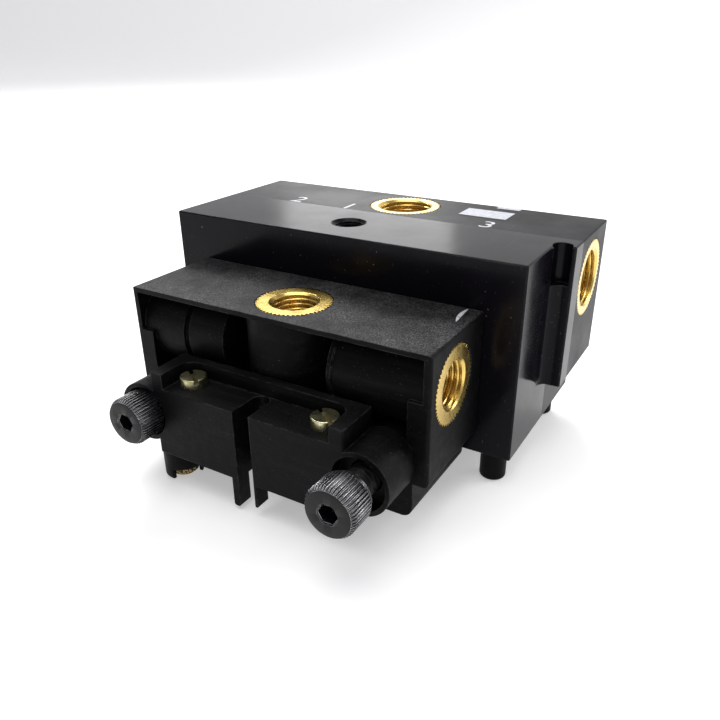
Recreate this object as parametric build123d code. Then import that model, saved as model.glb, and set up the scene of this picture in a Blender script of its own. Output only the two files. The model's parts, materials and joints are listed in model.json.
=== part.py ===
from build123d import *
import os

# A pilot-operated air valve block: a machined main block with a moulded pilot head on its front
# and a pilot cover on the head, held by two captive knurled screws. All lengths are millimetres.
#
# The datum used below has X = 0 in the middle of the head, Y = 0 on the head's front face and
# Z = 0 on the surface that the feet stand on. Every solid is moved by TO_ORIGIN when it is saved,
# so that the saved origin is at the bottom centre of the whole object's box.

# ---- driving dimensions ----------------------------------------------------------------------

# pilot head
HEAD_HALF = 45.0            # half width of the frame
HEAD_DEPTH = 30.0           # front face to main block
HEAD_TOP = 49.5
FRAME_BOTTOM = 15.3         # underside of the full-width frame
LOWER_HALF = 41.3           # half width of the set-in body below the frame
LOWER_BOTTOM = 5.5
RECESS_DEPTH = 22.0
RECESS_FLOOR = 25.0
LIP = 1.3                   # top lip above the recess
WALL = 1.9                  # side walls above the pads
PAD_TOP = 37.3              # the side walls thicken below this height
PAD_INNER = 39.3
PORT_Y = 12.8               # axis of the head's three ports
PORT_Z = 37.1
PORT_BOSS_R = 11.6
CENTRE_BOSS_R = 12.5
HEAD_PASSAGE_R = 3.4

# main block
MAIN_HALF = 54.7
MAIN_DEPTH = 52.0
MAIN_BOTTOM = 8.8
MAIN_TOP = 62.6
MAIN_REAR = HEAD_DEPTH + MAIN_DEPTH
LUG_OUT = 5.6               # port lug on the right end
LUG_FRONT = 50.3
LUG_BOTTOM = 23.0
STEP_R = 3.2                # hollow round between the end face and the lug
RELIEF_R = 2.6              # deeper cutter relief at the top of that round
RELIEF_DEPTH = 10.5
TOP_PORT_X = 2.4
TOP_PORT_Y = 69.0
END_PORT_Y = 67.9
END_PORT_Z = 49.5
GALLERY_R = 6.5
GALLERY_END = 21.0          # inner end of the left and right galleries
DROP_X = 25.5               # drillings from the galleries down to the spool
DROP_Y = 66.0
DROP_R = 4.0

# threaded inserts: outer radius, minor thread radius, radius of the chamfered mouth, length
INSERT_G14 = dict(outer=10.2, minor=5.72, mouth=6.7, length=12.0)
INSERT_G38 = dict(outer=10.9, minor=7.475, mouth=8.5, length=13.0)
VENT_X = -2.2               # tapped G1/8 hole on the top face
VENT_Y = 43.4
VENT_MINOR = 4.283
VENT_MOUTH = 5.1
VENT_DEPTH = 12.0

# spool valve, lying along X
SPOOL_Y = 64.0
SPOOL_Z = 27.5
BORE_R = 9.0
SLEEVE_R = 6.0              # bore of the sleeve
SLEEVE_ENDS = (-34.0, 36.6)
BORE_END = 42.0             # blind end of the bore
PLUG_INNER = -46.0          # inner face of the end plug
PLUG_R = 9.6
LAND_R = 5.95
NECK_R = 3.4
LAND_LEFT = (-33.5, -21.0)
LAND_RIGHT = (28.2, 36.4)
LEFT_STOP = 5.5             # stop pin on the spool's left end
WINDOW_R = 2.0
PILOT_X = 39.4              # pilot ports between head and main block

# assembly screws through the main block into the head: X, Z
SCREW_PLACES = [(-17.0, 43.5), (17.0, 43.5), (-36.5, 14.0), (36.5, 14.0)]
SCREW_CLEAR_R = 2.75
SCREW_HEAD_R = 4.25
SCREW_HEAD_H = 5.0

# feet
FOOT_X = 48.7
FOOT_Y = (35.0, 76.5)
FOOT_R = 3.6

# pilot cover
COVER_X = 1.1               # middle of the cover, a little right of the ports
COVER_HALF = 29.2
COVER_DEPTH = 12.9
COVER_BOTTOM = 9.5
SHELF = 29.2
RIM_TOP = 33.4
RIM_BACK = 2.5              # thickness of the rim's back wall
RIM_SIDE = 3.9              # thickness of the rim's arms
RIM_CORNER_R = 4.0
SLOT_HALF = 2.45
SLOT_END_Y = -5.0           # centre of the slot's round end
FIN_DEPTH = 4.2
LEFT_FIN = dict(thick=2.0, bottom=1.1)
RIGHT_FIN = dict(thick=0.9, bottom=2.9)
EAR_X = 32.8                # captive screw axes, each side of the cover's middle
EAR_Z = 20.7
EAR_R = 8.2
EAR_HOLE_R = 4.3
EAR_SINK_R = 7.0            # counterbore that the knurled head enters
EAR_SINK_DEPTH = 4.0
CUP_X = -26.7               # exhaust cup under the left end of the cover
CUP_Y = -6.5
CUP_R = 5.3
CUP_BORE_R = 4.0
CUP_BOTTOM = 0.1
CUP_TOP = 12.8
CUP_WINDOW_TOP = 3.4
PILOT_VALVE_X = 20.3        # pilot poppets and the brass screws above them
PILOT_VALVE_Y = -6.5
PILOT_FEED_Z = 16.0
POPPET_SEAT = 13.4
POPPET_TOP = 18.0
COVER_SCREW_END = 23.0

# captive knurled screws, M8
KNURL_R = 6.5
KNURL_LENGTH = 8.0
SHANK_R = 4.0
SHANK_LENGTH = 22.0
HEX_AF = 4.4
LEFT_HEAD_BACK = -12.1      # where each screw stands, backed out of the head
RIGHT_HEAD_BACK = -17.3
WASHER_T = 0.8
BUSH_R = 5.2                # brass bush that each screw turns into

BOX_LEFT = -MAIN_HALF
BOX_RIGHT = MAIN_HALF + LUG_OUT
BOX_FRONT = RIGHT_HEAD_BACK - KNURL_LENGTH
TO_ORIGIN = (-(BOX_LEFT + BOX_RIGHT) / 2, -(BOX_FRONT + MAIN_REAR) / 2, 0)


# ---- shared shapes ---------------------------------------------------------------------------

def block(x0, x1, y0, y1, z0, z1):
    middle = ((x0 + x1) / 2, (y0 + y1) / 2, (z0 + z1) / 2)
    return Pos(*middle) * Box(x1 - x0, y1 - y0, z1 - z0)


def rod_x(x0, x1, y, z, r):
    return Pos((x0 + x1) / 2, y, z) * Rot(0, 90, 0) * Cylinder(r, abs(x1 - x0))


def rod_y(x, y0, y1, z, r):
    return Pos(x, (y0 + y1) / 2, z) * Rot(90, 0, 0) * Cylinder(r, abs(y1 - y0))


def rod_z(x, y, z0, z1, r):
    return Pos(x, y, (z0 + z1) / 2) * Cylinder(r, abs(z1 - z0))


def between(start, end, r):
    """A round rod from one point to another."""
    line = Edge.make_line(start, end)
    return sweep(Plane(line @ 0, z_dir=line % 0) * Circle(r), path=line)


def ring_y(x, y, z, major, minor):
    return Pos(x, y, z) * Rot(90, 0, 0) * Torus(major, minor)


def ring_x(x, y, z, major, minor):
    return Pos(x, y, z) * Rot(0, 90, 0) * Torus(major, minor)


def groove_x(x, y, z, r, depth, width):
    """The square ring groove for an O-ring, cut into a round of radius r."""
    ring = rod_x(x - width / 2, x + width / 2, y, z, r + 1)
    return ring - rod_x(x - width / 2, x + width / 2, y, z, r - depth)


def coil(length, radius, wire, turns):
    """A round-wire compression spring standing on Z = 0, with its wire inside the length."""
    pitch = (length - 2 * wire) / turns
    path = Pos(0, 0, wire) * Helix(pitch, length - 2 * wire, radius)
    return sweep(Plane(path @ 0, z_dir=path % 0) * Circle(wire), path=path)


def save(name, *solids):
    moved = [Location(TO_ORIGIN) * solid for solid in solids]
    export_step(moved[0] if len(moved) == 1 else Compound(children=moved), f"parts/{name}.step")


# ---- threaded inserts ------------------------------------------------------------------------

def insert(outer, minor, mouth, length):
    """A brass insert with its face on Z = 0 and its body below, open at both ends."""
    chamfer_depth = mouth - minor
    body = Pos(0, 0, -length / 2) * Cylinder(outer, length)
    body -= Pos(0, 0, -length / 2) * Cylinder(minor, length + 2)
    return body - Pos(0, 0, -chamfer_depth / 2) * Cone(minor, mouth, chamfer_depth)


UP = Rot(0, 0, 0)
TO_RIGHT = Rot(0, 90, 0)
TO_LEFT = Rot(0, -90, 0)

INSERT_SPOTS = {
    "main_top_insert": (INSERT_G38, Pos(TOP_PORT_X, TOP_PORT_Y, MAIN_TOP) * UP),
    "main_right_insert": (INSERT_G38, Pos(MAIN_HALF + LUG_OUT, END_PORT_Y, END_PORT_Z) * TO_RIGHT),
    "main_left_insert": (INSERT_G38, Pos(-MAIN_HALF, END_PORT_Y, END_PORT_Z) * TO_LEFT),
    "head_top_insert": (INSERT_G14, Pos(0, PORT_Y, HEAD_TOP) * UP),
    "head_right_insert": (INSERT_G14, Pos(HEAD_HALF, PORT_Y, PORT_Z) * TO_RIGHT),
    "head_left_insert": (INSERT_G14, Pos(-HEAD_HALF, PORT_Y, PORT_Z) * TO_LEFT),
}


def insert_pocket(name):
    size, place = INSERT_SPOTS[name]
    return place * Pos(0, 0, -size["length"] / 2) * Cylinder(size["outer"], size["length"])


# ---- main block ------------------------------------------------------------------------------

def main_body():
    core = block(-MAIN_HALF, MAIN_HALF, HEAD_DEPTH, MAIN_REAR, MAIN_BOTTOM, MAIN_TOP)
    lug = block(0, MAIN_HALF + LUG_OUT, LUG_FRONT, MAIN_REAR, LUG_BOTTOM, MAIN_TOP)
    body = chamfer(core.edges(), 0.35) + chamfer(lug.edges(), 0.35)
    corner_x, corner_y = MAIN_HALF + STEP_R, LUG_FRONT - STEP_R
    hollow = block(MAIN_HALF - 1, corner_x, corner_y, LUG_FRONT + 1, LUG_BOTTOM + 0.4, MAIN_TOP - 0.4)
    body += hollow - rod_z(corner_x, corner_y, LUG_BOTTOM, MAIN_TOP + 1, STEP_R)
    relief_x = MAIN_HALF + RELIEF_R - 0.6
    body -= rod_z(relief_x, LUG_FRONT + 0.3, MAIN_TOP - RELIEF_DEPTH, MAIN_TOP + 1, RELIEF_R)
    for name in ("main_top_insert", "main_right_insert", "main_left_insert"):
        body -= insert_pocket(name)
    body -= main_passages()
    for x, z in SCREW_PLACES:
        body -= rod_y(x, HEAD_DEPTH - 1, MAIN_REAR + 1, z, SCREW_CLEAR_R)
        body -= rod_y(x, MAIN_REAR - SCREW_HEAD_H - 0.5, MAIN_REAR + 1, z, SCREW_HEAD_R + 0.5)
    for x in (-FOOT_X, FOOT_X):
        for y in FOOT_Y:
            body -= rod_z(x, y, MAIN_BOTTOM - 1, MAIN_BOTTOM + 5, 2.2)
    for x in (-PILOT_X, PILOT_X):
        body -= rod_y(x, HEAD_DEPTH - 1, HEAD_DEPTH + 1.4, SPOOL_Z, 3.6)
    return body


def main_passages():
    """Every air passage in the main block, as one tool."""
    top = rod_z(TOP_PORT_X, TOP_PORT_Y, SPOOL_Z, MAIN_TOP - 12, DROP_R + 1.5)
    tool = top + rod_x(-MAIN_HALF - 1, BORE_END, SPOOL_Y, SPOOL_Z, BORE_R)
    tool += rod_x(-MAIN_HALF - 1, PLUG_INNER, SPOOL_Y, SPOOL_Z, PLUG_R)
    for side, outer in ((-1, MAIN_HALF - 12), (1, MAIN_HALF + LUG_OUT - 12)):
        tool += rod_x(side * GALLERY_END, side * outer, END_PORT_Y, END_PORT_Z, GALLERY_R)
        tool += rod_z(side * DROP_X, DROP_Y, MAIN_BOTTOM - 1, END_PORT_Z, DROP_R)
        tool += rod_z(side * DROP_X, DROP_Y, MAIN_BOTTOM - 1, MAIN_BOTTOM + 6, 4.9)
        tool += rod_y(side * PILOT_X, HEAD_DEPTH - 1, SPOOL_Y - 7, SPOOL_Z, 1.6)
    mouth = VENT_MOUTH - VENT_MINOR
    tool += rod_z(VENT_X, VENT_Y, MAIN_TOP - VENT_DEPTH, MAIN_TOP + 1, VENT_MINOR)
    tool += Pos(VENT_X, VENT_Y, MAIN_TOP - mouth / 2) * Cone(VENT_MINOR, VENT_MOUTH, mouth)
    tool += rod_z(VENT_X, VENT_Y, SPOOL_Z - 1.6, MAIN_TOP - VENT_DEPTH, 1.6)
    tool += rod_y(VENT_X, VENT_Y, SPOOL_Y - 7, SPOOL_Z, 1.6)
    return tool


def assembly_screws():
    """Four M5 socket screws from the rear, long enough to reach the inserts in the head."""
    screws = []
    seat = MAIN_REAR - SCREW_HEAD_H - 0.5
    for x, z in SCREW_PLACES:
        screw = rod_y(x, seat, seat + SCREW_HEAD_H, z, SCREW_HEAD_R)
        screw += rod_y(x, HEAD_DEPTH - 6.5, seat, z, 2.5)
        socket = Rot(90, 0, 0) * extrude(RegularPolygon(2.0, 6, major_radius=False), 2.5)
        screws.append(screw - Pos(x, seat + SCREW_HEAD_H, z) * socket)
    return screws


def foot(x, y):
    base = rod_z(x, y, 0, MAIN_BOTTOM, FOOT_R)
    base = fillet(base.edges().sort_by(Axis.Z)[0], 0.9)
    return base + rod_z(x, y, MAIN_BOTTOM, MAIN_BOTTOM + 4.5, 2.2)


def blank_label():
    return block(21.0, 35.4, 67.0, 75.2, MAIN_TOP, MAIN_TOP + 0.12)


# ---- spool valve -----------------------------------------------------------------------------

PORT_PLACES = (-DROP_X, TOP_PORT_X, DROP_X)


def valve_sleeve():
    left, right = SLEEVE_ENDS
    sleeve = rod_x(left, right, SPOOL_Y, SPOOL_Z, BORE_R)
    sleeve -= rod_x(left - 1, right + 1, SPOOL_Y, SPOOL_Z, SLEEVE_R)
    for x in PORT_PLACES:
        groove = rod_x(x - 4, x + 4, SPOOL_Y, SPOOL_Z, BORE_R + 1)
        sleeve -= groove - rod_x(x - 4, x + 4, SPOOL_Y, SPOOL_Z, BORE_R - 1.3)
        for turn in (0, 90):
            sleeve -= Pos(x, SPOOL_Y, SPOOL_Z) * Rot(turn, 0, 0) * Cylinder(WINDOW_R, 2 * BORE_R)
    for x in sleeve_seal_places():
        sleeve -= groove_x(x, SPOOL_Y, SPOOL_Z, BORE_R, 1.6, 1.8)
    return sleeve


def sleeve_seal_places():
    return (SLEEVE_ENDS[0] + 2, -12.0, 14.0, SLEEVE_ENDS[1] - 2)


def main_spool():
    spool = rod_x(LAND_LEFT[0], LAND_RIGHT[1], SPOOL_Y, SPOOL_Z, NECK_R)
    for left, right in (LAND_LEFT, LAND_RIGHT):
        spool += rod_x(left, right, SPOOL_Y, SPOOL_Z, LAND_R)
    spool += rod_x(LAND_LEFT[0] - LEFT_STOP, LAND_LEFT[0], SPOOL_Y, SPOOL_Z, 2.8)
    spool += rod_x(LAND_RIGHT[1], BORE_END - 0.1, SPOOL_Y, SPOOL_Z, 3.0)
    for x in spool_seal_places():
        spool -= groove_x(x, SPOOL_Y, SPOOL_Z, LAND_R, 1.4, 1.6)
    return spool


def spool_seal_places():
    return (LAND_LEFT[0] + 1.2, LAND_LEFT[1] - 1.2, LAND_RIGHT[0] + 0.9, LAND_RIGHT[1] - 1.2)


def return_spring():
    length = LAND_LEFT[0] - PLUG_INNER
    return Pos(PLUG_INNER, SPOOL_Y, SPOOL_Z) * Rot(0, 90, 0) * coil(length, 4.4, 0.45, 6)


def end_plug():
    plug = rod_x(-MAIN_HALF + 0.3, PLUG_INNER, SPOOL_Y, SPOOL_Z, PLUG_R)
    socket = Rot(0, 90, 0) * extrude(RegularPolygon(4.0, 6, major_radius=False), 5)
    plug -= Pos(-MAIN_HALF + 0.3, SPOOL_Y, SPOOL_Z) * socket
    return plug - groove_x(PLUG_INNER - 2, SPOOL_Y, SPOOL_Z, PLUG_R, 1.6, 1.8)


# ---- pilot head ------------------------------------------------------------------------------

def head_body():
    frame = block(-HEAD_HALF, HEAD_HALF, 0, HEAD_DEPTH, FRAME_BOTTOM, HEAD_TOP)
    frame = fillet(frame.edges().filter_by(Axis.Y) + frame.edges().filter_by(Axis.Z), 0.9)
    lower = block(-LOWER_HALF, LOWER_HALF, 0, HEAD_DEPTH, LOWER_BOTTOM, RECESS_FLOOR)
    lower = fillet(lower.edges().filter_by(Axis.Y).group_by(Axis.Z)[0], 3.0)
    upper_recess = block(-HEAD_HALF + WALL, HEAD_HALF - WALL, -1, RECESS_DEPTH, PAD_TOP, HEAD_TOP - LIP)
    lower_recess = block(-PAD_INNER, PAD_INNER, -1, RECESS_DEPTH, RECESS_FLOOR, PAD_TOP)
    body = frame + lower - upper_recess - lower_recess
    body += port_bosses()
    for side in (-1, 1):
        body += rod_y(COVER_X + side * EAR_X, 0, 14, EAR_Z, BUSH_R + 1.1)
    return body - head_passages()


def port_bosses():
    """Round bosses inside the recess, round the three ports; the left one is in two stages."""
    bosses = rod_z(0, PORT_Y, RECESS_FLOOR - 1, HEAD_TOP - LIP + 0.2, CENTRE_BOSS_R)
    for x0, x1, r in ((-44, -28.8, PORT_BOSS_R), (-29, -27, PORT_BOSS_R - 0.9),
                      (-27.1, -15.3, PORT_BOSS_R - 0.1), (17.1, 44, PORT_BOSS_R)):
        bosses += rod_x(x0, x1, PORT_Y, PORT_Z, r)
    collar = rod_x(17.1, 18.3, PORT_Y, PORT_Z, PORT_BOSS_R + 0.5)
    rim_space = block(-HEAD_HALF, HEAD_HALF, 0.1, HEAD_DEPTH, RECESS_FLOOR - 1, HEAD_TOP - LIP + 0.2)
    return (bosses + collar) & rim_space


def head_passages():
    """Everything cut out of the pilot head, as one tool."""
    tool = insert_pocket("head_top_insert")
    tool += rod_z(0, PORT_Y, PILOT_FEED_Z, HEAD_TOP - 11, HEAD_PASSAGE_R)
    tool += rod_x(-LOWER_HALF - 1, PILOT_VALVE_X + COVER_X, PORT_Y + 3, PILOT_FEED_Z, 1.8)
    tool += rod_x(-LOWER_HALF - 1, -LOWER_HALF + 6, PORT_Y + 3, PILOT_FEED_Z, 2.6)
    for name in ("head_left_insert", "head_right_insert"):
        tool += insert_pocket(name)
    for side in (-1, 1):
        tool += rod_x(side * 24, side * (HEAD_HALF - 11), PORT_Y, PORT_Z, HEAD_PASSAGE_R)
        tool += between((side * 27.5, PORT_Y + 1, PORT_Z - 0.5),
                        (side * PILOT_X, HEAD_DEPTH + 0.5, SPOOL_Z), 1.5)
        valve_x = COVER_X + side * PILOT_VALVE_X
        tool += rod_y(valve_x, -1, PORT_Y + 3, PILOT_FEED_Z, 1.4)
        tool += rod_y(valve_x, -1, 1.2, PILOT_FEED_Z, 3.1)
        tool += rod_y(COVER_X + side * EAR_X, -1, 11.0, EAR_Z, BUSH_R)
        tool += rod_y(COVER_X + side * EAR_X, 0, 13.0, EAR_Z, SHANK_R + 0.3)
    for x, z in SCREW_PLACES:
        tool += rod_y(x, RECESS_DEPTH + 0.5, HEAD_DEPTH + 1, z, 3.4)
    return tool


def screw_inserts():
    """Brass inserts in the head's rear face, which the assembly screws pull against."""
    inserts = []
    for x, z in SCREW_PLACES:
        sleeve = rod_y(x, RECESS_DEPTH + 0.5, HEAD_DEPTH, z, 3.4)
        inserts.append(sleeve - rod_y(x, RECESS_DEPTH, HEAD_DEPTH + 1, z, 2.5))
    return inserts


def screw_bush(side):
    x = COVER_X + side * EAR_X
    bush = rod_y(x, 0.2, 11.0, EAR_Z, BUSH_R)
    return bush - rod_y(x, 0, 12.0, EAR_Z, SHANK_R + 0.05)


# ---- pilot cover -----------------------------------------------------------------------------

def pilot_cover():
    left, right = COVER_X - COVER_HALF, COVER_X + COVER_HALF
    body = block(left, right, -COVER_DEPTH, 0, COVER_BOTTOM, RIM_TOP)
    body = fillet(body.edges().filter_by(Axis.Z), 0.5)
    body -= shelf_space(left + RIM_SIDE, right - RIM_SIDE)
    for side, fin_size in ((-1, LEFT_FIN), (1, RIGHT_FIN)):
        body += ear(side)
        body += fin(side, **fin_size)
    cup = rod_z(CUP_X, CUP_Y, CUP_BOTTOM, EAR_Z - 5, CUP_R)
    body += fillet(cup.edges().sort_by(Axis.Z)[0], 0.8)
    body -= slot()
    for side in (-1, 1):
        body -= cover_bores(side)
    return body


def shelf_space(x0, x1):
    """The space above the shelf: open to the front, its rear corners round the screws."""
    space = block(x0, x1, -COVER_DEPTH - 1, -RIM_BACK, SHELF, RIM_TOP + 1)
    corners = space.edges().filter_by(Axis.Z).group_by(Axis.Y)[-1]
    return fillet(corners, RIM_CORNER_R)


def ear(side):
    return rod_y(COVER_X + side * EAR_X, -COVER_DEPTH, 0, EAR_Z, EAR_R)


def fin(side, thick, bottom):
    inner = COVER_X + side * SLOT_HALF
    outer = inner + side * thick
    leg = block(min(inner, outer), max(inner, outer), -COVER_DEPTH, -COVER_DEPTH + FIN_DEPTH,
                bottom, COVER_BOTTOM + 1)
    return fillet(leg.edges().filter_by(Axis.Y).group_by(Axis.Z)[0], 0.35 * thick)


def slot():
    x0, x1 = COVER_X - SLOT_HALF, COVER_X + SLOT_HALF
    run = block(x0, x1, -COVER_DEPTH - 1, SLOT_END_Y, COVER_BOTTOM - 1, SHELF)
    return run + rod_z(COVER_X, SLOT_END_Y, COVER_BOTTOM - 1, SHELF, SLOT_HALF)


def cover_bores(side):
    """The captive screw's counterbored hole, the poppet's bore and its exhaust on one side."""
    ear_x = COVER_X + side * EAR_X
    valve_x = COVER_X + side * PILOT_VALVE_X
    tool = rod_y(ear_x, -COVER_DEPTH - 1, 1, EAR_Z, EAR_HOLE_R)
    tool += rod_y(ear_x, -COVER_DEPTH - 1, -COVER_DEPTH + EAR_SINK_DEPTH, EAR_Z, EAR_SINK_R)
    tool += rod_z(valve_x, PILOT_VALVE_Y, COVER_SCREW_END, SHELF + 1, 2.0)
    tool += rod_z(valve_x, PILOT_VALVE_Y, POPPET_SEAT, COVER_SCREW_END, 3.0)
    tool += rod_z(valve_x, PILOT_VALVE_Y, POPPET_SEAT - 2, POPPET_SEAT, 1.0)
    tool += rod_y(valve_x, PILOT_VALVE_Y, 1, PILOT_FEED_Z, 1.0)
    if side > 0:
        return tool + rod_z(valve_x, PILOT_VALVE_Y, COVER_BOTTOM - 1, POPPET_SEAT - 1.4, 3.0)
    tool += rod_x(valve_x, CUP_X, PILOT_VALVE_Y, POPPET_SEAT - 1.8, 0.9)
    tool += rod_z(CUP_X, CUP_Y, CUP_BOTTOM - 1, CUP_TOP, CUP_BORE_R)
    window = block(CUP_X + 0.5, CUP_X + CUP_R + 1, CUP_Y - CUP_R - 1, CUP_Y + 2,
                   CUP_BOTTOM - 1, CUP_WINDOW_TOP)
    return tool + window


def cover_screw(side):
    """A slotted cheese-head M4 screw standing on the shelf."""
    x, y = COVER_X + side * PILOT_VALVE_X, PILOT_VALVE_Y
    head = fillet(rod_z(x, y, SHELF, SHELF + 2.6, 3.5).edges().sort_by(Axis.Z)[-1], 0.3)
    screw = head + rod_z(x, y, COVER_SCREW_END, SHELF, 2.0)
    cut = Box(9, 1.2, 2.4)
    return screw - Pos(x, y, SHELF + 2.6) * Rot(0, 0, -35) * cut


def cup_silencer():
    """The sintered bronze plug that fills the exhaust cup."""
    plug = rod_z(CUP_X, CUP_Y, CUP_BOTTOM + 0.5, CUP_TOP - 0.2, CUP_BORE_R - 0.1)
    return chamfer(plug.edges().sort_by(Axis.Z)[0], 0.6)


def flush_silencer():
    """The sintered bronze disc pressed flush into the cover's underside."""
    x = COVER_X + PILOT_VALVE_X
    return rod_z(x, PILOT_VALVE_Y, COVER_BOTTOM + 0.1, POPPET_SEAT - 1.4, 3.0)


def poppet(side):
    x, y = COVER_X + side * PILOT_VALVE_X, PILOT_VALVE_Y
    body = rod_z(x, y, POPPET_SEAT + 1.6, POPPET_TOP, 2.95)
    body += Pos(x, y, POPPET_SEAT + 0.8) * Cone(0.9, 2.6, 1.6)
    return body + rod_z(x, y, POPPET_TOP, POPPET_TOP + 2.2, 1.2)


def poppet_spring(side):
    x, y = COVER_X + side * PILOT_VALVE_X, PILOT_VALVE_Y
    return Pos(x, y, POPPET_TOP) * coil(COVER_SCREW_END - POPPET_TOP, 2.0, 0.25, 5)


# ---- captive screws --------------------------------------------------------------------------

def knurled_screw(side, head_back):
    """An M8 socket screw with a tall head; its head's back face is at the given Y."""
    x = COVER_X + side * EAR_X
    head = rod_y(x, head_back - KNURL_LENGTH, head_back, EAR_Z, KNURL_R)
    head = chamfer(head.edges().sort_by(Axis.Y)[0], 0.8)
    screw = head + rod_y(x, head_back, head_back + SHANK_LENGTH, EAR_Z, SHANK_R)
    socket = Rot(-90, 0, 0) * extrude(RegularPolygon(HEX_AF / 2, 6, major_radius=False), 4.5)
    return screw - Pos(x, head_back - KNURL_LENGTH, EAR_Z) * socket


def captive_washer(side, head_back):
    x = COVER_X + side * EAR_X
    washer = rod_y(x, head_back + 0.02, head_back + WASHER_T, EAR_Z, 5.8)
    return washer - rod_y(x, head_back - 1, head_back + WASHER_T + 1, EAR_Z, SHANK_R + 0.05)


# ---- write every piece -----------------------------------------------------------------------

os.makedirs("parts", exist_ok=True)

for insert_name, (insert_size, insert_place) in INSERT_SPOTS.items():
    save(insert_name, insert_place * insert(**insert_size))

save("main_body", main_body())
save("assembly_screws", *assembly_screws())
save("feet", *[foot(x, y) for x in (-FOOT_X, FOOT_X) for y in FOOT_Y])
save("blank_label", blank_label())
save("gallery_plugs", *[rod_z(side * DROP_X, DROP_Y, MAIN_BOTTOM + 0.3, MAIN_BOTTOM + 6, 4.9)
                        for side in (-1, 1)])
save("interface_seals", *[ring_y(side * PILOT_X, HEAD_DEPTH + 0.7, SPOOL_Z, 2.8, 0.7)
                          for side in (-1, 1)])

save("valve_sleeve", valve_sleeve())
save("sleeve_seals", *[ring_x(x, SPOOL_Y, SPOOL_Z, BORE_R - 0.8, 0.8) for x in sleeve_seal_places()])
save("main_spool", main_spool())
save("spool_seals", *[ring_x(x, SPOOL_Y, SPOOL_Z, LAND_R - 0.7, 0.7) for x in spool_seal_places()])
save("return_spring", return_spring())
save("end_plug", end_plug())
save("end_plug_seal", ring_x(PLUG_INNER - 2, SPOOL_Y, SPOOL_Z, PLUG_R - 0.8, 0.8))

save("head_body", head_body())
save("screw_inserts", *screw_inserts())
save("head_gallery_plug", rod_x(-LOWER_HALF + 0.3, -LOWER_HALF + 6, PORT_Y + 3, PILOT_FEED_Z, 2.6))

save("pilot_cover", pilot_cover())
save("cover_screws", *[cover_screw(side) for side in (-1, 1)])
save("cover_seals", *[ring_y(COVER_X + side * PILOT_VALVE_X, 0.6, PILOT_FEED_Z, 2.4, 0.6)
                      for side in (-1, 1)])

save("left_silencer", cup_silencer())
save("right_silencer", flush_silencer())

for side_name, side, head_back in (("left", -1, LEFT_HEAD_BACK), ("right", 1, RIGHT_HEAD_BACK)):
    save(f"{side_name}_screw_bush", screw_bush(side))
    save(f"{side_name}_poppet", poppet(side))
    save(f"{side_name}_poppet_spring", poppet_spring(side))
    save(f"{side_name}_knurled_screw", knurled_screw(side, head_back))
    save(f"{side_name}_captive_washer", captive_washer(side, head_back))
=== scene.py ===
import json
import math

import bpy
from mathutils import Matrix, Vector


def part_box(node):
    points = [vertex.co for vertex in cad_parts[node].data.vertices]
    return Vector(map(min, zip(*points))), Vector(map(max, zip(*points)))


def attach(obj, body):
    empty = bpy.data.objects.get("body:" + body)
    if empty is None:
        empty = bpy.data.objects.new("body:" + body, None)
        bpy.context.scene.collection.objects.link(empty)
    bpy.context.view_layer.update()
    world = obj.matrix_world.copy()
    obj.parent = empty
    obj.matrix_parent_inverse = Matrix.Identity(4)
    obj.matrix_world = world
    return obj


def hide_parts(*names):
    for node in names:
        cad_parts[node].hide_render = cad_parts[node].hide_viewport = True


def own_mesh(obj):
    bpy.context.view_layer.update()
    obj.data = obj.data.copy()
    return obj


# A pneumatic valve block on a pale studio floor. Every length is in metres and every place is worked
# out from the boxes of the CAD nodes, so nothing is fitted afterwards.

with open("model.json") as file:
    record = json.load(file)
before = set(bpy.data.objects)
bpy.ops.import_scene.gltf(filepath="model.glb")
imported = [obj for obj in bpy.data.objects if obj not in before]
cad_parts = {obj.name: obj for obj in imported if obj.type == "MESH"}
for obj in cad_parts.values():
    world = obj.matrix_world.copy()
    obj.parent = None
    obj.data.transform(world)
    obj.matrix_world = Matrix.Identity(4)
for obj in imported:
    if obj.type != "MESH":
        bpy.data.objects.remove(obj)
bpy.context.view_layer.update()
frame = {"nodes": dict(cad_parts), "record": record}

MM = 0.001
BLOCK_BODY = "valve_block"

# pipe threads: major radius, minor radius, pitch, radius of the chamfered mouth
G14 = dict(major=6.5 * MM, minor=5.72 * MM, pitch=1.337 * MM, mouth=6.6 * MM)
G38 = dict(major=8.25 * MM, minor=7.475 * MM, pitch=1.337 * MM, mouth=8.4 * MM)

INSERTS = {
    "main_top_insert": (G38, Vector((0, 0, 1))),
    "main_right_insert": (G38, Vector((1, 0, 0))),
    "main_left_insert": (G38, Vector((-1, 0, 0))),
    "head_top_insert": (G14, Vector((0, 0, 1))),
    "head_right_insert": (G14, Vector((1, 0, 0))),
    "head_left_insert": (G14, Vector((-1, 0, 0))),
}

# port numbers on the main block's top: distances from its left end and its front
DIGIT_OFFSETS = {"2": 24.0 * MM, "1": 42.5 * MM, "3": 87.5 * MM}
DIGIT_FRONT = 27.0 * MM
DIGIT_HEIGHT = 6.4 * MM


# ---- camera, floor and light -----------------------------------------------------------------

def place_camera():
    data = bpy.data.cameras.new("camera")
    data.lens = 35.14
    data.sensor_width = 36.0
    camera = bpy.data.objects.new("camera", data)
    bpy.context.collection.objects.link(camera)
    right = Vector((0.85959, 0.51092, -0.00755))
    down = Vector((0.21581, -0.37639, -0.90097))
    forward = Vector((-0.46317, 0.77284, -0.43381))
    turn = Matrix((right, -down, -forward)).transposed().to_4x4()
    camera.matrix_world = Matrix.Translation((0.0981, -0.1515, 0.1137)) @ turn
    bpy.context.scene.camera = camera


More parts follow.
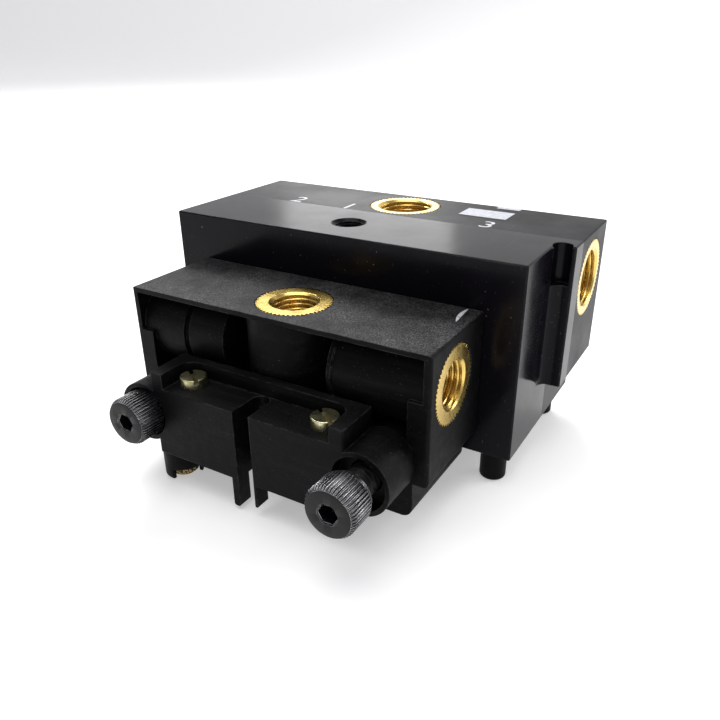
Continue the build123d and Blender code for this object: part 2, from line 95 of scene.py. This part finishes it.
def area_light(name, place, target, size, energy, colour=(1, 1, 1)):
    data = bpy.data.lights.new(name, "AREA")
    data.shape = "RECTANGLE"
    data.size, data.size_y = size
    data.energy = energy
    data.color = colour
    light = bpy.data.objects.new(name, data)
    bpy.context.collection.objects.link(light)
    light.location = place
    aim = Vector(target) - Vector(place)
    light.rotation_euler = aim.to_track_quat("-Z", "Y").to_euler()


def studio():
    floor_mesh = bpy.data.meshes.new("floor")
    reach, back, rise, bend = 2.5, 1.6, 1.8, 0.5
    profile = [(-reach, 0.0), (back - bend, 0.0)]
    for step in range(1, 13):
        angle = math.radians(90 * step / 12)
        profile.append((back - bend + bend * math.sin(angle), bend * (1 - math.cos(angle))))
    profile.append((back, rise))
    points = [(x, y, z) for y, z in profile for x in (-reach, reach)]
    faces = [(2 * i, 2 * i + 1, 2 * i + 3, 2 * i + 2) for i in range(len(profile) - 1)]
    floor_mesh.from_pydata(points, [], faces)
    floor = bpy.data.objects.new("floor", floor_mesh)
    bpy.context.collection.objects.link(floor)
    for face in floor_mesh.polygons:
        face.use_smooth = True
    material = plain_material("floor", (0.80, 0.80, 0.80), 0.9, specular=0.1)
    shader = material.node_tree.nodes["Principled BSDF"]
    shader.inputs["Emission Color"].default_value = (1, 1, 1, 1)
    shader.inputs["Emission Strength"].default_value = 0.38
    floor_mesh.materials.append(material)

    world = bpy.data.worlds.new("world")
    world.use_nodes = True
    world.node_tree.nodes["Background"].inputs["Color"].default_value = (0.95, 0.95, 1.0, 1)
    world.node_tree.nodes["Background"].inputs["Strength"].default_value = 0.35
    bpy.context.scene.world = world
    bpy.context.scene.view_settings.view_transform = "Standard"

    centre = (0, 0, 0.03)
    area_light("key", (-0.38, 0.67, 0.37), centre, (0.24, 0.50), 0.72)
    area_light("rear_high", (-0.62, 0.62, 0.85), centre, (0.6, 0.4), 9.5)
    area_light("rim", (0.72, 0.62, 0.52), centre, (0.45, 0.4), 3.6)
    area_light("overhead", (-0.05, -0.1, 1.1), centre, (0.9, 0.9), 7.0)


# ---- material helpers ------------------------------------------------------------------------

def plain_material(name, colour, roughness, metallic=0.0, specular=0.5):
    material = bpy.data.materials.new(name)
    material.use_nodes = True
    shader = material.node_tree.nodes["Principled BSDF"]
    shader.inputs["Base Color"].default_value = (*colour, 1)
    shader.inputs["Roughness"].default_value = roughness
    shader.inputs["Metallic"].default_value = metallic
    shader.inputs["Specular IOR Level"].default_value = specular
    return material


def add_node(material, kind, **values):
    node = material.node_tree.nodes.new(kind)
    for name, value in values.items():
        if hasattr(node, name):
            setattr(node, name, value)
        else:
            node.inputs[name.replace("_", " ").title()].default_value = value
    return node


def join(material, source, target):
    material.node_tree.links.new(source, target)


def coordinates(material, scale=(1, 1, 1)):
    """Object coordinates in metres, stretched by scale."""
    place = add_node(material, "ShaderNodeTexCoord")
    mapping = add_node(material, "ShaderNodeMapping")
    mapping.inputs["Scale"].default_value = scale
    join(material, place.outputs["Object"], mapping.inputs["Vector"])
    return mapping.outputs["Vector"]


def noise(material, vector, scale, detail=3.0, roughness=0.55):
    node = add_node(material, "ShaderNodeTexNoise", scale=scale, detail=detail, roughness=roughness)
    join(material, vector, node.inputs["Vector"])
    return node.outputs["Fac"]


def split_axes(material, vector):
    """A vector's outputs, by the names X, Y and Z."""
    node = material.node_tree.nodes.new("ShaderNodeSeparateXYZ")
    join(material, vector, node.inputs["Vector"])
    return node.outputs


def spread(material, value, low, high, out_low, out_high):
    """Maps a value's range onto another, clamped."""
    node = material.node_tree.nodes.new("ShaderNodeMapRange")
    for name, number in zip(("From Min", "From Max", "To Min", "To Max"), (low, high, out_low, out_high)):
        node.inputs[name].default_value = number
    join(material, value, node.inputs["Value"])
    return node.outputs["Result"]


def mix_colours(material, factor, first, second):
    node = material.node_tree.nodes.new("ShaderNodeMix")
    node.data_type = "RGBA"
    join(material, factor, node.inputs["Factor"])
    for slot, colour in (("A", first), ("B", second)):
        socket = [item for item in node.inputs if item.name == slot and item.type == "RGBA"][0]
        if isinstance(colour, tuple):
            socket.default_value = (*colour, 1)
        else:
            join(material, colour, socket)
    return [item for item in node.outputs if item.type == "RGBA"][0]


def combine(material, operation, first, second):
    node = material.node_tree.nodes.new("ShaderNodeMath")
    node.operation = operation
    for socket, value in zip(node.inputs, (first, second)):
        if isinstance(value, (int, float)):
            socket.default_value = value
        else:
            join(material, value, socket)
    return node.outputs["Value"]


def round_edges(material, radius):
    """A normal that is rounded off at sharp edges."""
    node = material.node_tree.nodes.new("ShaderNodeBevel")
    node.samples = 4
    node.inputs["Radius"].default_value = radius
    return node.outputs["Normal"]


def edge_mask(material, radius):
    """1 on sharp edges, 0 on flat faces."""
    geometry = material.node_tree.nodes.new("ShaderNodeNewGeometry")
    dot = material.node_tree.nodes.new("ShaderNodeVectorMath")
    dot.operation = "DOT_PRODUCT"
    join(material, geometry.outputs["Normal"], dot.inputs[0])
    join(material, round_edges(material, radius), dot.inputs[1])
    return spread(material, dot.outputs["Value"], 0.99, 0.85, 0.0, 1.0)


def bump(material, height, strength, distance, normal=None):
    node = material.node_tree.nodes.new("ShaderNodeBump")
    node.inputs["Strength"].default_value = strength
    node.inputs["Distance"].default_value = distance
    join(material, height, node.inputs["Height"])
    if normal is not None:
        join(material, normal, node.inputs["Normal"])
    return node.outputs["Normal"]


def drive(material, **sockets):
    """Joins outputs to the shader's sockets by name."""
    shader = material.node_tree.nodes["Principled BSDF"]
    for name, output in sockets.items():
        join(material, output, shader.inputs[name.replace("_", " ").title()])


# ---- materials -------------------------------------------------------------------------------

def settled_dust(material, place):
    """A fine pale grain, in patches, on faces that look up; the low cover has less of it."""
    geometry = material.node_tree.nodes.new("ShaderNodeNewGeometry")
    upward = spread(material, split_axes(material, geometry.outputs["Normal"])["Z"], 0.8, 1.0, 0.0, 1.0)
    patches = spread(material, noise(material, place, 70, 4, 0.65), 0.38, 0.62, 0.25, 1.0)
    grains = spread(material, noise(material, place, 2400, 4, 0.8), 0.46, 0.66, 0.0, 0.75)
    lifted = spread(material, split_axes(material, place)["Z"], 0.036, 0.047, 0.12, 1.0)
    grains = combine(material, "MULTIPLY", lifted, grains)
    return combine(material, "MULTIPLY", upward, combine(material, "MULTIPLY", patches, grains))


def moulded_nylon():
    """Glass-filled nylon: black, dull, finely grained, with pale fibre streaks and scuffed edges."""
    material = plain_material("moulded_nylon", (0.012, 0.012, 0.013), 0.5, specular=0.07)
    place = coordinates(material)
    flow = coordinates(material, (30, 420, 420))
    grain = noise(material, place, 1900, 5, 0.65)
    pebble = noise(material, place, 420, 3, 0.5)
    fibres = spread(material, noise(material, flow, 1.0, 4, 0.6), 0.5, 0.75, 0.0, 1.0)
    body = mix_colours(material, fibres, (0.003, 0.003, 0.0035), (0.008, 0.008, 0.009))
    scuffs = combine(material, "MULTIPLY", edge_mask(material, 0.0005),
                     spread(material, noise(material, place, 260, 4, 0.7), 0.42, 0.62, 0.0, 0.8))
    specks = spread(material, noise(material, place, 2300, 1, 0.3), 0.74, 0.80, 0.0, 0.35)
    worn = mix_colours(material, scuffs, body, (0.075, 0.074, 0.072))
    speckled = mix_colours(material, specks, worn, (0.16, 0.155, 0.145))
    dusty = mix_colours(material, settled_dust(material, place), speckled, (0.19, 0.19, 0.19))
    relief = combine(material, "ADD", grain, combine(material, "MULTIPLY", pebble, 1.6))
    drive(material, base_color=dusty, roughness=spread(material, pebble, 0.3, 0.7, 0.42, 0.5),
          normal=bump(material, relief, 0.55, 0.0001, round_edges(material, 0.0003)))
    return material


def machined_acetal(matt_from):
    """Black acetal: glossy where it is freshly machined, duller behind the line y = matt_from."""
    material = plain_material("machined_acetal", (0.012, 0.011, 0.013), 0.25, specular=0.1)
    place = coordinates(material)
    along = coordinates(material, (18, 1400, 1400))
    across = coordinates(material, (1500, 18, 900))
    cutter = noise(material, along, 1.0, 3, 0.6)
    hairlines = spread(material, noise(material, across, 1.0, 2, 0.5), 0.66, 0.72, 0.0, 1.0)
    smears = noise(material, place, 55, 4, 0.6)
    depth = split_axes(material, place)["Y"]
    matt = spread(material, depth, matt_from - 0.2 * MM, matt_from + 0.2 * MM, 0.0, 1.0)
    gloss = combine(material, "ADD", spread(material, smears, 0.35, 0.7, 0.14, 0.26),
                    combine(material, "MULTIPLY", matt, 0.22))
    scuffs = combine(material, "MULTIPLY", edge_mask(material, 0.0004),
                     spread(material, noise(material, place, 300, 4, 0.7), 0.45, 0.62, 0.0, 0.7))
    body = mix_colours(material, matt, (0.0042, 0.0036, 0.0056), (0.009, 0.009, 0.010))
    worn = mix_colours(material, scuffs, body, (0.07, 0.068, 0.07))
    scratched = mix_colours(material, combine(material, "MULTIPLY", hairlines, 0.25), worn,
                            (0.06, 0.06, 0.065))
    specks = spread(material, noise(material, place, 900, 1, 0.3), 0.79, 0.83, 0.0, 0.4)
    dusty = mix_colours(material, specks, scratched, (0.2, 0.19, 0.18))
    drive(material, base_color=dusty, roughness=gloss,
          normal=bump(material, cutter, 0.16, 0.00005, round_edges(material, 0.0003)))
    return material


def bright_brass(name, colour=(0.80, 0.57, 0.17)):
    """Turned brass: bright yellow, with faint dull patches and fine tool marks."""
    material = plain_material(name, colour, 0.22, metallic=1.0)
    place = coordinates(material)
    patches = noise(material, place, 260, 3, 0.6)
    marks = noise(material, place, 2600, 2, 0.5)
    dull = tuple(0.82 * part for part in colour)
    worn = mix_colours(material, spread(material, patches, 0.4, 0.75, 0, 1), colour, dull)
    drive(material, base_color=worn,
          roughness=spread(material, patches, 0.3, 0.7, 0.2, 0.32),
          normal=bump(material, marks, 0.08, 0.00003, round_edges(material, 0.00012)))
    return material


def passivated_steel():
    """Zinc-plated steel with an uneven straw to olive passivation."""
    material = plain_material("passivated_steel", (0.62, 0.58, 0.36), 0.28, metallic=1.0)
    place = coordinates(material)
    stain = noise(material, place, 420, 3, 0.6)
    straw, olive = (0.72, 0.70, 0.46), (0.42, 0.37, 0.18)
    shade = mix_colours(material, spread(material, stain, 0.35, 0.65, 0, 1), straw, olive)
    marks = noise(material, place, 3000, 2)
    drive(material, base_color=shade, roughness=spread(material, stain, 0.3, 0.7, 0.2, 0.4),
          normal=bump(material, marks, 0.15, 0.00003, round_edges(material, 0.00015)))
    return material


def black_steel():
    """Oil-blackened steel, brighter on its edges: partly rubbed wear, partly a painted highlight on knurl
    crests and chamfers.
    """
    material = plain_material("black_steel", (0.1, 0.1, 0.105), 0.34, metallic=0.9)
    place = coordinates(material)
    # brighter edges: partly rubbed wear, partly painted highlight
    rub_and_highlight = combine(material, "MULTIPLY", edge_mask(material, 0.0002),
                  spread(material, noise(material, place, 500, 3, 0.6), 0.35, 0.6, 0.5, 1.0))
    shade = mix_colours(material, rub_and_highlight, (0.04, 0.04, 0.043), (0.85, 0.85, 0.87))
    marks = noise(material, place, 2400, 3)
    drive(material, base_color=shade,
          roughness=spread(material, noise(material, place, 700, 3), 0.3, 0.7, 0.24, 0.4),
          normal=bump(material, marks, 0.2, 0.00004, round_edges(material, 0.0001)))
    return material


def painted_shade_steel():
    """Blackened steel painted darker and never rubbed: painted shade on the screws' shanks, sockets and
    front faces.
    """
    return plain_material("painted_shade_steel", (0.008, 0.008, 0.0085), 0.42, specular=0.2)


def plain_steel():
    """Bright steel with faint tool marks."""
    material = plain_material("plain_steel", (0.58, 0.58, 0.6), 0.3, metallic=1.0)
    place = coordinates(material)
    marks = noise(material, place, 2600, 2)
    drive(material, roughness=spread(material, noise(material, place, 600, 3), 0.3, 0.7, 0.22, 0.42),
          normal=bump(material, marks, 0.15, 0.00003, round_edges(material, 0.0001)))
    return material


def sintered_bronze():
    """Small bronze balls fused together, with painted shade darkening the pores between."""
    material = plain_material("sintered_bronze", (0.48, 0.34, 0.14), 0.45, metallic=1.0)
    balls = add_node(material, "ShaderNodeTexVoronoi", scale=2300.0)
    join(material, coordinates(material), balls.inputs["Vector"])
    distance = balls.outputs["Distance"]
    # the dark colour between the balls is painted shade in the pores
    painted_pore_shade = spread(material, distance, 0.25, 0.6, 0, 1)
    drive(material, base_color=mix_colours(material, painted_pore_shade, (0.62, 0.47, 0.22), (0.06, 0.045, 0.02)),
          normal=bump(material, combine(material, "SUBTRACT", 1.0, distance), 0.9, 0.0002))
    return material


def nitrile():
    """Black rubber."""
    material = plain_material("nitrile", (0.012, 0.012, 0.012), 0.6)
    drive(material, normal=bump(material, noise(material, coordinates(material), 1500, 3), 0.3, 0.00005))
    return material


def anodised_aluminium():
    """Hard anodised aluminium with turning marks round X."""
    material = plain_material("anodised_aluminium", (0.6, 0.61, 0.62), 0.34, metallic=1.0)
    rings = noise(material, coordinates(material, (2200, 40, 40)), 1.0, 2)
    drive(material, normal=bump(material, rings, 0.2, 0.00004))
    return material


def label_film():
    """A pale blank film, slightly mottled."""
    material = plain_material("label_film", (0.48, 0.49, 0.53), 0.45)
    mottle = spread(material, noise(material, coordinates(material), 700, 3), 0.35, 0.7, 0, 1)
    drive(material, base_color=mix_colours(material, mottle, (0.52, 0.53, 0.57), (0.38, 0.39, 0.43)))
    return material


def white_paint():
    """Thin paint, worn through a little."""
    material = plain_material("white_paint", (0.8, 0.8, 0.82), 0.5)
    worn = spread(material, noise(material, coordinates(material), 1500, 3), 0.5, 0.68, 0, 1)
    drive(material, base_color=mix_colours(material, worn, (0.6, 0.6, 0.62), (0.22, 0.22, 0.23)))
    return material


# ---- turned shapes ---------------------------------------------------------------------------

def tri_wave(phase):
    """0 at a whole number, 1 half way between."""
    return 1 - abs(2 * (phase % 1.0) - 1)


def turned(name, rings, count, place, material, closed_loop=False):
    """A lathe-like solid. Each ring is (radius, height), and a radius may depend on the angle.

    A closed loop of rings runs up the outside. An open chain runs down it, from the middle of the top.
    """
    points, faces = [], []
    for radius, height in rings:
        for step in range(count):
            angle = 2 * math.pi * step / count
            reach = radius(angle) if callable(radius) else radius
            points.append((reach * math.cos(angle), reach * math.sin(angle), height))
    pairs = [(i, i + 1) for i in range(len(rings) - 1)]
    if closed_loop:
        pairs.append((len(rings) - 1, 0))
    for lower, upper in pairs:
        for step in range(count):
            after = (step + 1) % count
            faces.append((lower * count + step, lower * count + after,
                          upper * count + after, upper * count + step))
    if not closed_loop:
        faces.append(tuple(reversed(range(count))))
        faces.append(tuple((len(rings) - 1) * count + step for step in range(count)))
        faces = [tuple(reversed(face)) for face in faces]
    mesh = bpy.data.meshes.new(name)
    mesh.from_pydata(points, [], faces)
    mesh.transform(place)
    mesh.update()
    piece = bpy.data.objects.new(name, mesh)
    bpy.context.collection.objects.link(piece)
    mesh.materials.append(material)
    smooth_by_angle(mesh, 32)
    return piece


def smooth_by_angle(mesh, degrees):
    """Smooth shading, with edges sharper than the angle kept sharp."""
    for face in mesh.polygons:
        face.use_smooth = True
    mesh.set_sharp_from_angle(angle=math.radians(degrees))


def facing(origin, outward):
    """A place whose local Z points outward."""
    turn = Vector((0, 0, 1)).rotation_difference(outward).to_matrix().to_4x4()
    return Matrix.Translation(origin) @ turn


def node_middle(node):
    """The middle of a node's box."""
    low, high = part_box(node)
    return (Vector(low) + Vector(high)) / 2


def outer_face(node, outward):
    """The middle of a node's face on the outward side."""
    low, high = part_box(node)
    middle = (Vector(low) + Vector(high)) / 2
    half = (Vector(high) - Vector(low)) / 2
    reach = sum(abs(part) * side for part, side in zip(outward, half))
    return middle + outward * reach, 2 * reach


def threaded_insert(node, thread, outward, brass):
    """A brass insert: toothed rim, chamfered mouth and a real helical pipe thread."""
    face, length = outer_face(node, outward)
    low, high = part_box(node)
    outer = max(high[i] - low[i] for i in range(3)) / 2
    count, teeth, tooth = 378, 54, 0.8 * MM
    rows = int(length / thread["pitch"] * 10)

    def rim(angle):
        return outer - tooth * tri_wave(teeth * angle / (2 * math.pi))

    def bore(depth):
        def radius(angle):
            groove = tri_wave(-depth / thread["pitch"] + angle / (2 * math.pi))
            share = min(max(1.25 * groove - 0.12, 0), 1)
            wall = thread["minor"] + (thread["major"] - thread["minor"]) * share
            return max(wall, thread["mouth"] - depth * 1.3)
        return radius

    rings = [(rim, -length), (rim, -0.3 * MM), (lambda angle: rim(angle) - 0.1 * MM, 0.0)]
    rings.append((thread["mouth"] + 0.25 * MM, 0.0))
    for row in range(rows + 1):
        depth = length * row / rows
        rings.append((bore(depth), -depth))
    return turned(node + "_threaded", rings, count, facing(face, outward), brass, closed_loop=True)


def gauge_port_thread(acetal):
    """The fine ridges of the small thread that is tapped straight into the main block."""
    mount = next(item for item in frame["record"]["mounts"] if item["name"] == "gauge_port")
    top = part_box("main_body")[1][2]
    centre = Vector((mount["pos_m"][0], mount["pos_m"][1], top))
    wall = mount["dims"]["r_mm"] * MM
    pitch, ridge, depth = 0.907 * MM, 0.34 * MM, 9.0 * MM
    start = 0.8 * MM
    rows = 100
    rings = [(wall + 0.02 * MM, -start - depth), (wall + 0.02 * MM, -start)]
    for row in range(rows + 1):
        below = start + depth * row / rows

        def radius(angle, below=below):
            return wall - ridge * tri_wave(below / pitch - angle / (2 * math.pi))
        rings.append((radius, -below))
    return turned("gauge_port_thread", rings, 144, Matrix.Translation(centre), acetal, closed_loop=True)


def knurled_screw(side, steel, painted_shade_material):
    """A socket cap screw with a straight-knurled head, a chamfered crown and a threaded shank."""
    node = side + "_knurled_screw"
    low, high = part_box(node)
    head_r, shank_r = (high[0] - low[0]) / 2, 4.0 * MM
    head_length = 8.0 * MM
    middle = node_middle(node)
    back = Vector((middle[0], low[1] + head_length, middle[2]))
    shank = high[1] - back[1]
    count, teeth = 384, 48
    flat = 4.4 * MM / 2

    def knurl(depth):
        return lambda angle: head_r - depth - 0.4 * MM * (1 - tri_wave(teeth * angle / (2 * math.pi)))

    def hexagon(angle):
        return flat / math.cos(angle % (math.pi / 3) - math.pi / 6)

    def thread(angle, below):
        return shank_r - 0.6 * MM * tri_wave(below / (1.25 * MM) - angle / (2 * math.pi))

    rings = [(lambda angle: 0.9 * hexagon(angle), head_length - 4.3 * MM)]
    rings += [(hexagon, head_length - 4.0 * MM)]
    rings += [(hexagon, head_length - 0.3 * MM), (2.75 * MM, head_length)]
    rings += [(head_r - 1.0 * MM, head_length), (head_r - 0.7 * MM, head_length - 0.12 * MM)]
    rings += [(knurl(0.25 * MM), head_length - 0.75 * MM), (knurl(0.0), head_length - 1.15 * MM)]
    rings += [(knurl(0.0), 0.6 * MM), (knurl(0.3 * MM), 0.15 * MM), (head_r - 0.9 * MM, 0.0)]
    rings += [(shank_r - 0.3 * MM, 0.0), (shank_r - 0.3 * MM, -1.2 * MM)]
    rows = 90
    for row in range(rows + 1):
        below = 1.6 * MM + (shank - 2.4 * MM) * row / rows
        rings.append((lambda angle, below=below: thread(angle, below), -below))
    rings.append((3.1 * MM, -shank))
    screw = turned(node + "_detailed", rings, count, facing(back, Vector((0, -1, 0))), steel)
    # the shank behind the head and the faces looking along Y take the darker steel as painted shade
    screw.data.materials.append(painted_shade_material)
    for face in screw.data.polygons:
        if face.center.y > back.y + 0.1 * MM or abs(face.normal.y) > 0.9:
            face.material_index = 1
    return screw


SPRINGS = {
    "return_spring": dict(joint="spool_stroke", travel=6.5 * MM, along=0, fixed_high=False,
                          wire=0.45 * MM, turns=6),
    "left_poppet_spring": dict(joint="left_poppet_lift", travel=1.2 * MM, along=2, fixed_high=True,
                               wire=0.25 * MM, turns=5),
    "right_poppet_spring": dict(joint="right_poppet_lift", travel=1.2 * MM, along=2, fixed_high=True,
                                wire=0.25 * MM, turns=5),
}


def coiled_wire(start, axis, rise, radius, wire, turns):
    """The points, edges and faces of a round wire wound about an axis."""
    first, second = Vector(axis.zxy), Vector(axis.yzx)
    sides, steps = 8, turns * 24
    points, faces = [], []
    for step in range(steps + 1):
        angle = 2 * math.pi * turns * step / steps
        radial = first * math.cos(angle) + second * math.sin(angle)
        centre = start + axis * (rise * step / steps) + radial * radius
        for side in range(sides):
            turn = 2 * math.pi * side / sides
            points.append(centre + wire * (math.cos(turn) * radial + math.sin(turn) * axis))
    for step in range(steps):
        here, there = step * sides, (step + 1) * sides
        for side in range(sides):
            after = (side + 1) % sides
            faces.append((here + side, there + side, there + after, here + after))
    faces.append(tuple(range(sides)))
    faces.append(tuple(reversed(range(steps * sides, (steps + 1) * sides))))
    return points, [], faces


def coil_spring(node, steel, joint, travel, along, fixed_high, wire, turns):
    """A round-wire spring in its CAD spring's place, fixed to the valve block; it keeps its length as its
    joint moves.
    """
    low, high = (Vector(corner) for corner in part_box(node))
    axis = Vector((0, 0, 0))
    axis[along] = 1
    length = high[along] - low[along]
    start = (low + high) / 2 - axis * (length / 2 - wire)
    radius = (high[1] - low[1]) / 2 - wire
    mesh = bpy.data.meshes.new(node + "_coil")
    mesh.from_pydata(*coiled_wire(start, axis, length - 2 * wire, radius, wire, turns))
    smooth_by_angle(mesh, 50)
    mesh.materials.append(steel)
    spring = bpy.data.objects.new(node + "_coil", mesh)
    bpy.context.collection.objects.link(spring)
    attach(spring, BLOCK_BODY)
    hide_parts(node)
    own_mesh(spring)


# ---- markings --------------------------------------------------------------------------------

def port_digit(text, x, y, height, material):
    """A painted port number on the main block's top face."""
    curve = bpy.data.curves.new("port_digit_" + text, "FONT")
    curve.body = text
    curve.size = height / 0.7
    curve.align_x = "CENTER"
    curve.extrude = 0.02 * MM
    curve.resolution_u = 6
    curve.materials.append(material)
    digit = bpy.data.objects.new("port_digit_" + text, curve)
    bpy.context.collection.objects.link(digit)
    digit.location = (x, y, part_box("main_body")[1][2] + 0.03 * MM)
    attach(digit, BLOCK_BODY)


def thin_plate(name, outline, low, high, material, body):
    """A flat piece with the given outline in X and Y, between two heights."""
    count = len(outline)
    points = [(x, y, low) for x, y in outline] + [(x, y, high) for x, y in outline]
    faces = [tuple(reversed(range(count))), tuple(range(count, 2 * count))]
    for step in range(count):
        after = (step + 1) % count
        faces.append((step, after, count + after, count + step))
    mesh = bpy.data.meshes.new(name)
    mesh.from_pydata(points, [], faces)
    mesh.materials.append(material)
    piece = bpy.data.objects.new(name, mesh)
    bpy.context.collection.objects.link(piece)
    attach(piece, body)


def rounded_rectangle(left, right, front, rear, radius):
    """The outline of a rectangle with round corners."""
    corners = [(right - radius, rear - radius, 0), (left + radius, rear - radius, 90),
               (left + radius, front + radius, 180), (right - radius, front + radius, 270)]
    outline = []
    for x, y, start in corners:
        for step in range(5):
            angle = math.radians(start + 90 * step / 4)
            outline.append((x + radius * math.cos(angle), y + radius * math.sin(angle)))
    return outline


def sliver(start, end, half_width, bow):
    """A long pointed outline that bows to one side."""
    start, end = Vector(start), Vector(end)
    along = (end - start).normalized()
    across = Vector((-along.y, along.x))
    outline = []
    for side in (1, -1):
        for step in range(9):
            part = step / 9 if side > 0 else 1 - step / 9
            swell = half_width * math.sin(math.pi * part) ** 0.8
            middle = start.lerp(end, part) + across * bow * math.sin(math.pi * part)
            spot = middle + across * side * swell
            outline.append((spot.x, spot.y))
    return list(reversed(outline))


def surface_marks(film, burr_paint):
    """The small pale film at the main block's rear edge and the pale burr near the head's right end."""
    low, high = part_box("main_body")
    top, rear = high[2], high[1]
    left = low[0] + 82.9 * MM
    film_outline = rounded_rectangle(left, left + 7.2 * MM, rear - 2.9 * MM, rear - 0.5 * MM, 0.3 * MM)
    thin_plate("rear_film", film_outline, top, top + 0.06 * MM, film, BLOCK_BODY)
    head_low, head_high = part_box("head_body")
    x, y = head_high[0] - 4.0 * MM, head_low[1]
    start, end = (x + 0.5 * MM, y + 20.2 * MM), (x - 0.2 * MM, y + 29.5 * MM)
    burr_outline = sliver(start, end, 0.55 * MM, 0.5 * MM)
    thin_plate("moulding_burr", burr_outline, head_high[2] - 0.02 * MM, head_high[2] + 0.12 * MM,
               burr_paint, BLOCK_BODY)


# ---- put it together -------------------------------------------------------------------------

def dress_cad_nodes(materials):
    """Gives each CAD node the material of its slot."""
    for part in frame["record"]["subparts"]:
        piece = frame["nodes"][part["node"]]
        piece.data.materials.clear()
        piece.data.materials.append(materials[part["material_slot"]])


place_camera()
studio()

main_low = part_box("main_body")[0]
MATT_FROM = main_low[1] + 26.8 * MM

MATERIALS = {
    "acetal": machined_acetal(MATT_FROM),
    "nylon": moulded_nylon(),
    "brass": bright_brass("bright_brass"),
    "black_steel": black_steel(),
    "passivated_steel": passivated_steel(),
    "steel": plain_steel(),
    "bronze": sintered_bronze(),
    "seal": nitrile(),
    "spool_aluminium": anodised_aluminium(),
    "label": label_film(),
}
dress_cad_nodes(MATERIALS)

for insert_node, (insert_thread, insert_axis) in INSERTS.items():
    insert = threaded_insert(insert_node, insert_thread, insert_axis, MATERIALS["brass"])
    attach(insert, BLOCK_BODY)
    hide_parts(insert_node)

gauge_thread = gauge_port_thread(MATERIALS["acetal"])
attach(gauge_thread, BLOCK_BODY)

# a darker steel as painted shade for the screws' shanks, sockets and front faces
painted_shade_material = painted_shade_steel()
for side in ("left", "right"):
    screw = knurled_screw(side, MATERIALS["black_steel"], painted_shade_material)
    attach(screw, side + "_screw")
    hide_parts(side + "_knurled_screw")

for spring_node, spring_facts in SPRINGS.items():
    coil_spring(spring_node, MATERIALS["steel"], **spring_facts)

paint = white_paint()
for text, offset in DIGIT_OFFSETS.items():
    port_digit(text, main_low[0] + offset, main_low[1] + DIGIT_FRONT, DIGIT_HEIGHT, paint)

surface_marks(MATERIALS["label"], paint)
